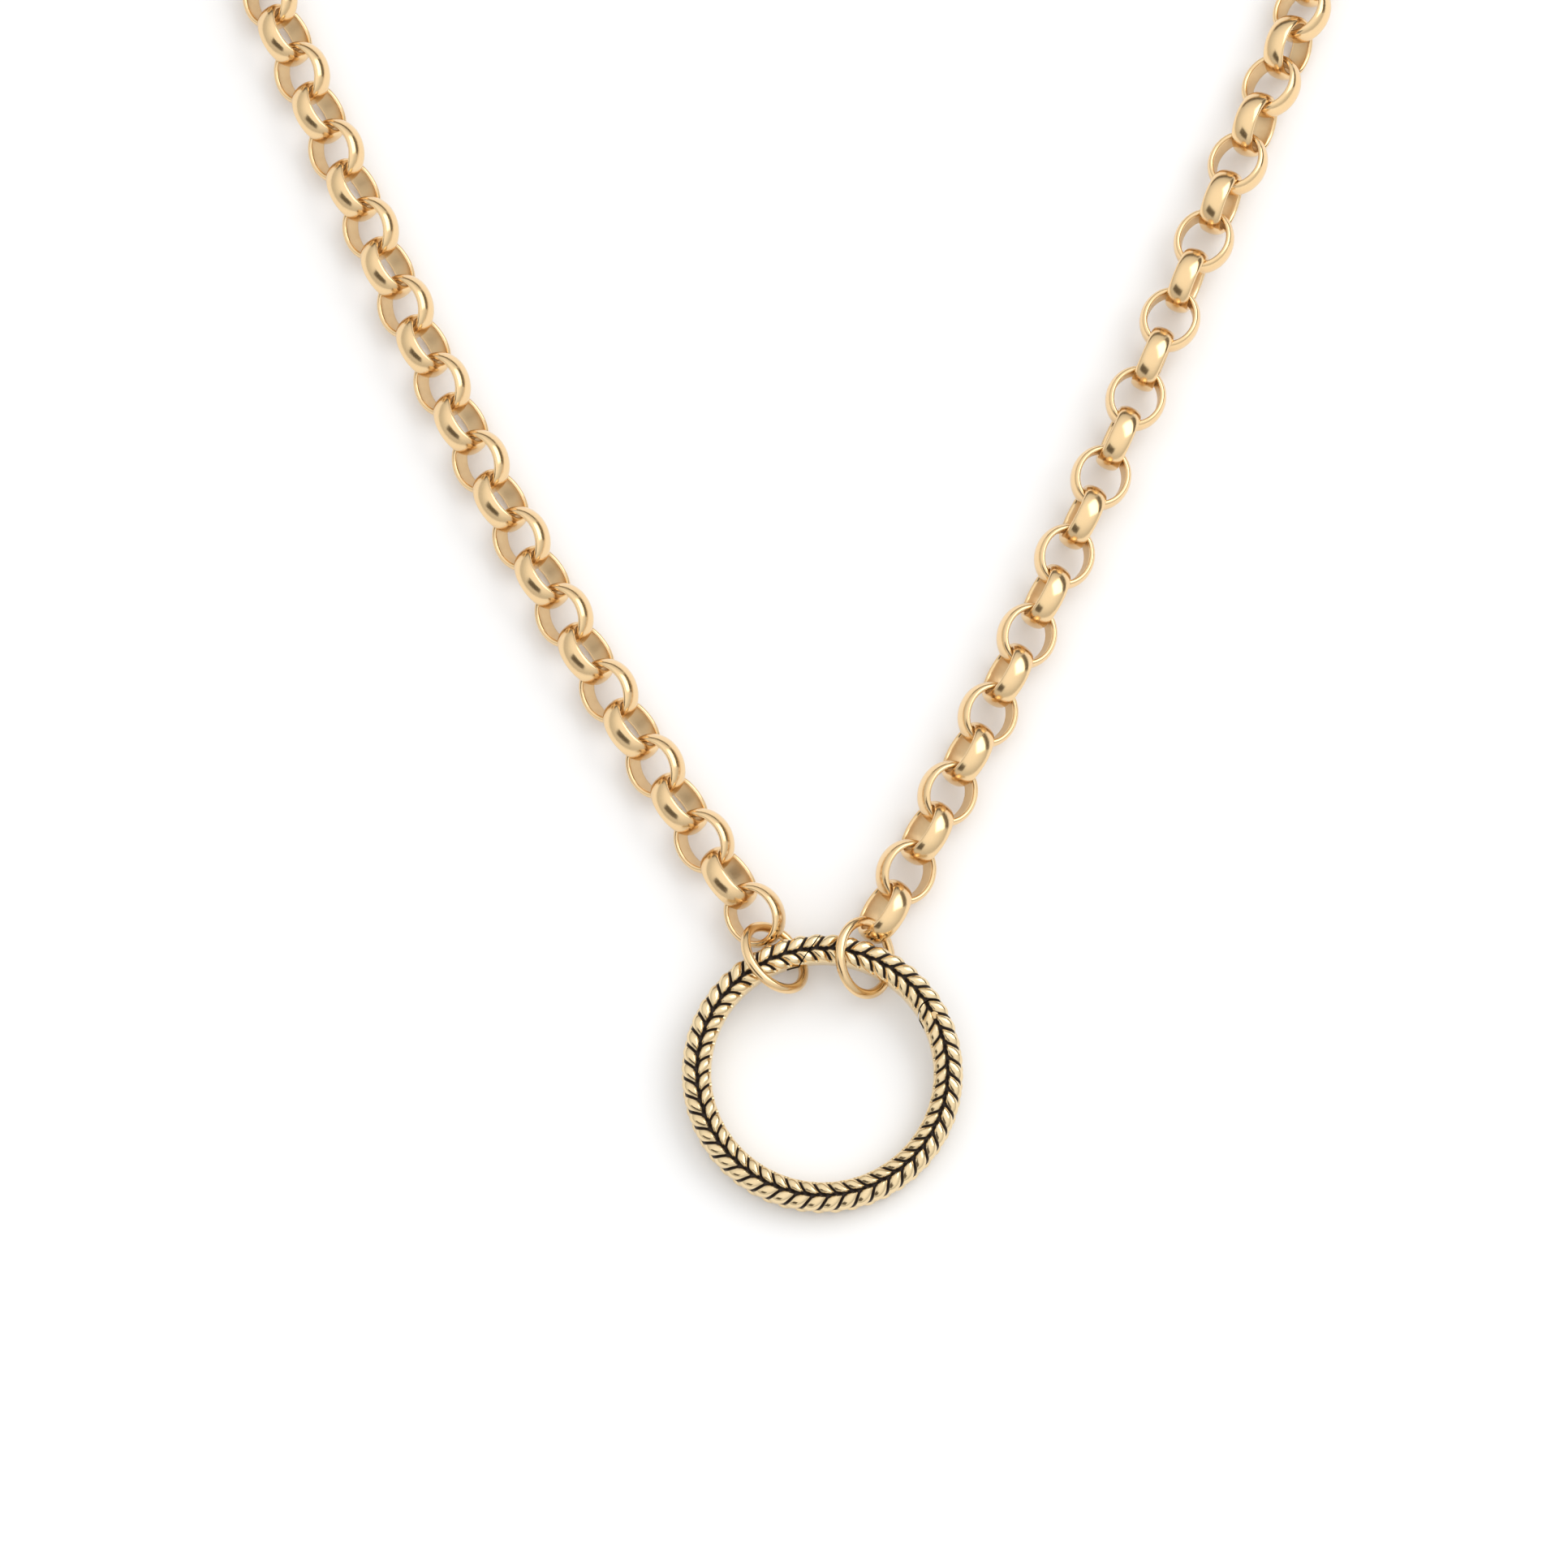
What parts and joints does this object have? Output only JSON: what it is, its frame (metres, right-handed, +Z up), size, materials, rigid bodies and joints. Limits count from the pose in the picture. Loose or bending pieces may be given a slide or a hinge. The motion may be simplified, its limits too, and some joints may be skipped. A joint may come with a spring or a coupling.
{
  "type": "chain necklace",
  "caption": "Oval belcher chain necklace closed by a carved hinged ring clasp that two jump rings join to the chain.",
  "frame": {"origin": "on the table under the middle of the necklace as it lies closed", "axes": "+X to the viewer's right, +Y from the ring clasp towards the nape of the neck, +Z up off the table"},
  "size_m": [0.1052, 0.1878, 0.0057],
  "materials": {
    "polished_gold": "polished",
    "carved_gold": "polished",
    "clasp_fittings": "satin"
  },
  "bodies": {
    "ring_body": {"ring_body": "carved_gold", "gate_hinge_pin": "clasp_fittings", "gate_spring": "clasp_fittings"},
    "ring_gate": {"ring_gate": "carved_gold", "gate_latch": "clasp_fittings"},
    "jump_ring_left": {"jump_ring_left": "polished_gold"},
    "jump_ring_right": {"jump_ring_right": "polished_gold"},
    "link_left_01": {"link_left_01": "polished_gold"},
    "link_left_02": {"link_left_02": "polished_gold"},
    "link_left_03": {"link_left_03": "polished_gold"},
    "link_left_04": {"link_left_04": "polished_gold"},
    "link_left_05": {"link_left_05": "polished_gold"},
    "link_left_06": {"link_left_06": "polished_gold"},
    "link_left_07": {"link_left_07": "polished_gold"},
    "link_left_08": {"link_left_08": "polished_gold"},
    "link_left_09": {"link_left_09": "polished_gold"},
    "link_left_10": {"link_left_10": "polished_gold"},
    "link_left_11": {"link_left_11": "polished_gold"},
    "link_left_12": {"link_left_12": "polished_gold"},
    "link_left_13": {"link_left_13": "polished_gold"},
    "link_left_14": {"link_left_14": "polished_gold"},
    "link_left_15": {"link_left_15": "polished_gold"},
    "link_left_16": {"link_left_16": "polished_gold"},
    "link_left_17": {"link_left_17": "polished_gold"},
    "link_left_18": {"link_left_18": "polished_gold"},
    "link_left_19": {"link_left_19": "polished_gold"},
    "link_left_20": {"link_left_20": "polished_gold"},
    "link_left_21": {"link_left_21": "polished_gold"},
    "link_left_22": {"link_left_22": "polished_gold"},
    "link_left_23": {"link_left_23": "polished_gold"},
    "link_left_24": {"link_left_24": "polished_gold"},
    "back_chain_left_1": {"back_chain_left_1": "polished_gold"},
    "back_chain_left_2": {"back_chain_left_2": "polished_gold"},
    "back_chain_left_3": {"back_chain_left_3": "polished_gold"},
    "link_right_01": {"link_right_01": "polished_gold"},
    "link_right_02": {"link_right_02": "polished_gold"},
    "link_right_03": {"link_right_03": "polished_gold"},
    "link_right_04": {"link_right_04": "polished_gold"},
    "link_right_05": {"link_right_05": "polished_gold"},
    "link_right_06": {"link_right_06": "polished_gold"},
    "link_right_07": {"link_right_07": "polished_gold"},
    "link_right_08": {"link_right_08": "polished_gold"},
    "link_right_09": {"link_right_09": "polished_gold"},
    "link_right_10": {"link_right_10": "polished_gold"},
    "link_right_11": {"link_right_11": "polished_gold"},
    "link_right_12": {"link_right_12": "polished_gold"},
    "link_right_13": {"link_right_13": "polished_gold"},
    "link_right_14": {"link_right_14": "polished_gold"},
    "link_right_15": {"link_right_15": "polished_gold"},
    "link_right_16": {"link_right_16": "polished_gold"},
    "link_right_17": {"link_right_17": "polished_gold"},
    "link_right_18": {"link_right_18": "polished_gold"},
    "link_right_19": {"link_right_19": "polished_gold"},
    "link_right_20": {"link_right_20": "polished_gold"},
    "link_right_21": {"link_right_21": "polished_gold"},
    "link_right_22": {"link_right_22": "polished_gold"},
    "link_right_23": {"link_right_23": "polished_gold"},
    "back_chain_right_1": {"back_chain_right_1": "polished_gold"},
    "back_chain_right_2": {"back_chain_right_2": "polished_gold"},
    "back_chain_right_3": {"back_chain_right_3": "polished_gold"}
  },
  "joints": [
    {"name": "gate_hinge", "type": "hinge", "parent": "ring_body", "child": "ring_gate", "pos_m": [0.01331, -0.07628, 0.00262], "axis": [0, -0.0698, 0.9976], "range_deg": [0, 25]},
    {"name": "jump_ring_left_slide", "type": "hinge", "parent": "ring_body", "child": "jump_ring_left", "pos_m": [0.00338, -0.08133, 0.00227], "axis": [0, -0.0698, 0.9976], "range_deg": [0, 22.5]},
    {"name": "jump_ring_right_turn", "type": "hinge", "parent": "ring_gate", "child": "jump_ring_right", "pos_m": [0.00719, -0.07087, 0.00285], "axis": [0, -0.0698, 0.9976], "range_deg": [-25, 0]},
    {"name": "link_left_01_swing", "type": "hinge", "parent": "jump_ring_left", "child": "link_left_01", "pos_m": [-0.00228, -0.06737, 0.00253], "axis": [-0.4385, -0.2976, 0.848], "range_deg": [-25, 25]},
    {"name": "link_left_02_swing", "type": "hinge", "parent": "link_left_01", "child": "link_left_02", "pos_m": [-0.00457, -0.06397, 0.00253], "axis": [0.707, 0.4683, 0.5299], "range_deg": [-25, 25]},
    {"name": "link_left_03_swing", "type": "hinge", "parent": "link_left_02", "child": "link_left_03", "pos_m": [-0.00682, -0.06054, 0.00253], "axis": [0.445, 0.2877, -0.848], "range_deg": [-25, 25]},
    {"name": "link_left_04_swing", "type": "hinge", "parent": "link_left_03", "child": "link_left_04", "pos_m": [-0.00904, -0.05709, 0.00253], "axis": [-0.7173, -0.4525, -0.5299], "range_deg": [-25, 25]},
    {"name": "link_left_05_swing", "type": "hinge", "parent": "link_left_04", "child": "link_left_05", "pos_m": [-0.01121, -0.05362, 0.00253], "axis": [-0.4513, -0.2777, 0.848], "range_deg": [-25, 25]},
    {"name": "link_left_06_swing", "type": "hinge", "parent": "link_left_05", "child": "link_left_06", "pos_m": [-0.01335, -0.05012, 0.00253], "axis": [0.7272, 0.4364, 0.5299], "range_deg": [-25, 25]},
    {"name": "link_left_07_swing", "type": "hinge", "parent": "link_left_06", "child": "link_left_07", "pos_m": [-0.01544, -0.04659, 0.00253], "axis": [0.4574, 0.2676, -0.848], "range_deg": [-25, 25]},
    {"name": "link_left_08_swing", "type": "hinge", "parent": "link_left_07", "child": "link_left_08", "pos_m": [-0.0175, -0.04305, 0.00253], "axis": [-0.7367, -0.42, -0.5299], "range_deg": [-25, 25]},
    {"name": "link_left_09_swing", "type": "hinge", "parent": "link_left_08", "child": "link_left_09", "pos_m": [-0.01951, -0.03948, 0.00253], "axis": [-0.4633, -0.2573, 0.848], "range_deg": [-25, 25]},
    {"name": "link_left_10_swing", "type": "hinge", "parent": "link_left_09", "child": "link_left_10", "pos_m": [-0.02149, -0.03588, 0.00253], "axis": [0.7459, 0.4035, 0.5299], "range_deg": [-25, 25]},
    {"name": "link_left_11_swing", "type": "hinge", "parent": "link_left_10", "child": "link_left_11", "pos_m": [-0.02343, -0.03227, 0.00253], "axis": [0.4689, 0.2469, -0.848], "range_deg": [-25, 25]},
    {"name": "link_left_12_swing", "type": "hinge", "parent": "link_left_11", "child": "link_left_12", "pos_m": [-0.02533, -0.02864, 0.00253], "axis": [-0.7547, -0.3868, -0.5299], "range_deg": [-25, 25]},
    {"name": "link_left_13_swing", "type": "hinge", "parent": "link_left_12", "child": "link_left_13", "pos_m": [-0.02718, -0.02498, 0.00253], "axis": [-0.4743, -0.2364, 0.848], "range_deg": [-25, 25]},
    {"name": "link_left_14_swing", "type": "hinge", "parent": "link_left_13", "child": "link_left_14", "pos_m": [-0.029, -0.0213, 0.00253], "axis": [0.7632, 0.3698, 0.5299], "range_deg": [-25, 25]},
    {"name": "link_left_15_swing", "type": "hinge", "parent": "link_left_14", "child": "link_left_15", "pos_m": [-0.03077, -0.01761, 0.00253], "axis": [0.4794, 0.2258, -0.848], "range_deg": [-25, 25]},
    {"name": "link_left_16_swing", "type": "hinge", "parent": "link_left_15", "child": "link_left_16", "pos_m": [-0.0325, -0.01389, 0.00253], "axis": [-0.7712, -0.3527, -0.5299], "range_deg": [-25, 25]},
    {"name": "link_left_17_swing", "type": "hinge", "parent": "link_left_16", "child": "link_left_17", "pos_m": [-0.03419, -0.01016, 0.00253], "axis": [-0.4843, -0.215, 0.848], "range_deg": [-25, 25]},
    {"name": "link_left_18_swing", "type": "hinge", "parent": "link_left_17", "child": "link_left_18", "pos_m": [-0.03584, -0.0064, 0.00253], "axis": [0.7789, 0.3354, 0.5299], "range_deg": [-25, 25]},
    {"name": "link_left_19_swing", "type": "hinge", "parent": "link_left_18", "child": "link_left_19", "pos_m": [-0.03746, -0.00264, 0.00253], "axis": [0.4867, 0.2096, -0.848], "range_deg": [-25, 25]},
    {"name": "link_left_20_swing", "type": "hinge", "parent": "link_left_19", "child": "link_left_20", "pos_m": [-0.03909, 0.00113, 0.00253], "axis": [-0.7789, -0.3354, -0.5299], "range_deg": [-25, 25]},
    {"name": "link_left_21_swing", "type": "hinge", "parent": "link_left_20", "child": "link_left_21", "pos_m": [-0.04071, 0.00489, 0.00253], "axis": [-0.4867, -0.2096, 0.848], "range_deg": [-25, 25]},
    {"name": "link_left_22_swing", "type": "hinge", "parent": "link_left_21", "child": "link_left_22", "pos_m": [-0.04233, 0.00866, 0.00253], "axis": [0.7789, 0.3354, 0.5299], "range_deg": [-25, 25]},
    {"name": "link_left_23_swing", "type": "hinge", "parent": "link_left_22", "child": "link_left_23", "pos_m": [-0.04395, 0.01243, 0.00253], "axis": [0.4867, 0.2096, -0.848], "range_deg": [-25, 25]},
    {"name": "link_left_24_swing", "type": "hinge", "parent": "link_left_23", "child": "link_left_24", "pos_m": [-0.04557, 0.01619, 0.00253], "axis": [-0.7789, -0.3354, -0.5299], "range_deg": [-25, 25]},
    {"name": "back_chain_left_1_swing", "type": "hinge", "parent": "link_left_24", "child": "back_chain_left_1", "pos_m": [-0.04704, 0.01987, 0.00252], "axis": [-0.505, -0.1811, 0.8439], "range_deg": [-25, 25]},
    {"name": "back_chain_left_2_swing", "type": "hinge", "parent": "back_chain_left_1", "child": "back_chain_left_2", "pos_m": [-0.04773, 0.05354, 0.00243], "axis": [-0.7634, 0.234, -0.6021], "range_deg": [-25, 25]},
    {"name": "back_chain_left_3_swing", "type": "hinge", "parent": "back_chain_left_2", "child": "back_chain_left_3", "pos_m": [-0.02745, 0.08207, 0.00238], "axis": [0.39, -0.5401, -0.7458], "range_deg": [-25, 25]},
    {"name": "link_right_01_swing", "type": "hinge", "parent": "jump_ring_right", "child": "link_right_01", "pos_m": [0.00866, -0.0671, 0.00256], "axis": [-0.7646, 0.4067, 0.5], "range_deg": [-25, 25]},
    {"name": "link_right_02_swing", "type": "hinge", "parent": "link_right_01", "child": "link_right_02", "pos_m": [0.01057, -0.06348, 0.00257], "axis": [0.44, -0.2301, 0.868], "range_deg": [-25, 25]},
    {"name": "link_right_03_swing", "type": "hinge", "parent": "link_right_02", "child": "link_right_03", "pos_m": [0.01246, -0.05984, 0.00258], "axis": [0.7762, -0.3993, -0.4878], "range_deg": [-25, 25]},
    {"name": "link_right_04_swing", "type": "hinge", "parent": "link_right_03", "child": "link_right_04", "pos_m": [0.01433, -0.05619, 0.00259], "axis": [-0.4236, 0.2142, -0.8802], "range_deg": [-25, 25]},
    {"name": "link_right_05_swing", "type": "hinge", "parent": "link_right_04", "child": "link_right_05", "pos_m": [0.01617, -0.05253, 0.00261], "axis": [-0.7963, 0.3959, 0.4573], "range_deg": [-25, 25]},
    {"name": "link_right_06_swing", "type": "hinge", "parent": "link_right_05", "child": "link_right_06", "pos_m": [0.01799, -0.04885, 0.00263], "axis": [0.3915, -0.1913, 0.9001], "range_deg": [-25, 25]},
    {"name": "link_right_07_swing", "type": "hinge", "parent": "link_right_06", "child": "link_right_07", "pos_m": [0.01978, -0.04516, 0.00265], "axis": [0.8222, -0.3948, -0.4101], "range_deg": [-25, 25]},
    {"name": "link_right_08_swing", "type": "hinge", "parent": "link_right_07", "child": "link_right_08", "pos_m": [0.02155, -0.04146, 0.00268], "axis": [-0.3441, 0.1623, -0.9248], "range_deg": [-25, 25]},
    {"name": "link_right_09_swing", "type": "hinge", "parent": "link_right_08", "child": "link_right_09", "pos_m": [0.02329, -0.03775, 0.0027], "axis": [-0.851, 0.3944, 0.3467], "range_deg": [-25, 25]},
    {"name": "link_right_10_swing", "type": "hinge", "parent": "link_right_09", "child": "link_right_10", "pos_m": [0.025, -0.03403, 0.00272], "axis": [0.2812, -0.128, 0.9511], "range_deg": [-25, 25]},
    {"name": "link_right_11_swing", "type": "hinge", "parent": "link_right_10", "child": "link_right_11", "pos_m": [0.02669, -0.03029, 0.00274], "axis": [0.8798, -0.3932, -0.267], "range_deg": [-25, 25]},
    {"name": "link_right_12_swing", "type": "hinge", "parent": "link_right_11", "child": "link_right_12", "pos_m": [0.02836, -0.02655, 0.00275], "axis": [-0.2024, 0.0888, -0.9753], "range_deg": [-25, 25]},
    {"name": "link_right_13_swing", "type": "hinge", "parent": "link_right_12", "child": "link_right_13", "pos_m": [0.02999, -0.02279, 0.00276], "axis": [-0.905, 0.3896, 0.171], "range_deg": [-25, 25]},
    {"name": "link_right_14_swing", "type": "hinge", "parent": "link_right_13", "child": "link_right_14", "pos_m": [0.03161, -0.01902, 0.00276], "axis": [0.1079, -0.0456, 0.9931], "range_deg": [-25, 25]},
    {"name": "link_right_15_swing", "type": "hinge", "parent": "link_right_14", "child": "link_right_15", "pos_m": [0.0332, -0.01524, 0.00275], "axis": [0.9196, -0.3884, -0.0594], "range_deg": [-25, 25]},
    {"name": "link_right_16_swing", "type": "hinge", "parent": "link_right_15", "child": "link_right_16", "pos_m": [0.0348, -0.01146, 0.00273], "axis": [0.0018, -0.0008, -1], "range_deg": [-25, 25]},
    {"name": "link_right_17_swing", "type": "hinge", "parent": "link_right_16", "child": "link_right_17", "pos_m": [0.03639, -0.00769, 0.00275], "axis": [-0.9191, 0.3883, -0.0667], "range_deg": [-25, 25]},
    {"name": "link_right_18_swing", "type": "hinge", "parent": "link_right_17", "child": "link_right_18", "pos_m": [0.03799, -0.00391, 0.00276], "axis": [-0.1238, 0.0523, 0.9909], "range_deg": [-25, 25]},
    {"name": "link_right_19_swing", "type": "hinge", "parent": "link_right_18", "child": "link_right_19", "pos_m": [0.03958, -0.00013, 0.00275], "axis": [0.9017, -0.3809, 0.2047], "range_deg": [-25, 25]},
    {"name": "link_right_20_swing", "type": "hinge", "parent": "link_right_19", "child": "link_right_20", "pos_m": [0.04118, 0.00364, 0.00273], "axis": [0.2552, -0.1078, -0.9609], "range_deg": [-25, 25]},
    {"name": "link_right_21_swing", "type": "hinge", "parent": "link_right_20", "child": "link_right_21", "pos_m": [0.04277, 0.00742, 0.0027], "axis": [-0.8626, 0.3644, -0.3509], "range_deg": [-25, 25]},
    {"name": "link_right_22_swing", "type": "hinge", "parent": "link_right_21", "child": "link_right_22", "pos_m": [0.04437, 0.0112, 0.00264], "axis": [-0.3919, 0.1656, 0.905], "range_deg": [-25, 25]},
    {"name": "link_right_23_swing", "type": "hinge", "parent": "link_right_22", "child": "link_right_23", "pos_m": [0.04596, 0.01497, 0.00256], "axis": [0.7978, -0.337, 0.5], "range_deg": [-25, 25]},
    {"name": "back_chain_right_1_swing", "type": "hinge", "parent": "link_right_23", "child": "back_chain_right_1", "pos_m": [0.04734, 0.01849, 0.00256], "axis": [0.4787, -0.166, -0.8622], "range_deg": [-25, 25]},
    {"name": "back_chain_right_2_swing", "type": "hinge", "parent": "back_chain_right_1", "child": "back_chain_right_2", "pos_m": [0.04788, 0.05067, 0.00246], "axis": [0.7878, 0.2236, 0.5738], "range_deg": [-25, 25]},
    {"name": "back_chain_right_3_swing", "type": "hinge", "parent": "back_chain_right_2", "child": "back_chain_right_3", "pos_m": [0.02989, 0.07886, 0.0024], "axis": [-0.4083, -0.4925, 0.7686], "range_deg": [-25, 25]}
  ],
  "couplings": [
    {"joint": "jump_ring_left_slide", "follows": "gate_hinge", "ratio": 0.9},
    {"joint": "jump_ring_right_turn", "follows": "gate_hinge", "ratio": -1}
  ]
}
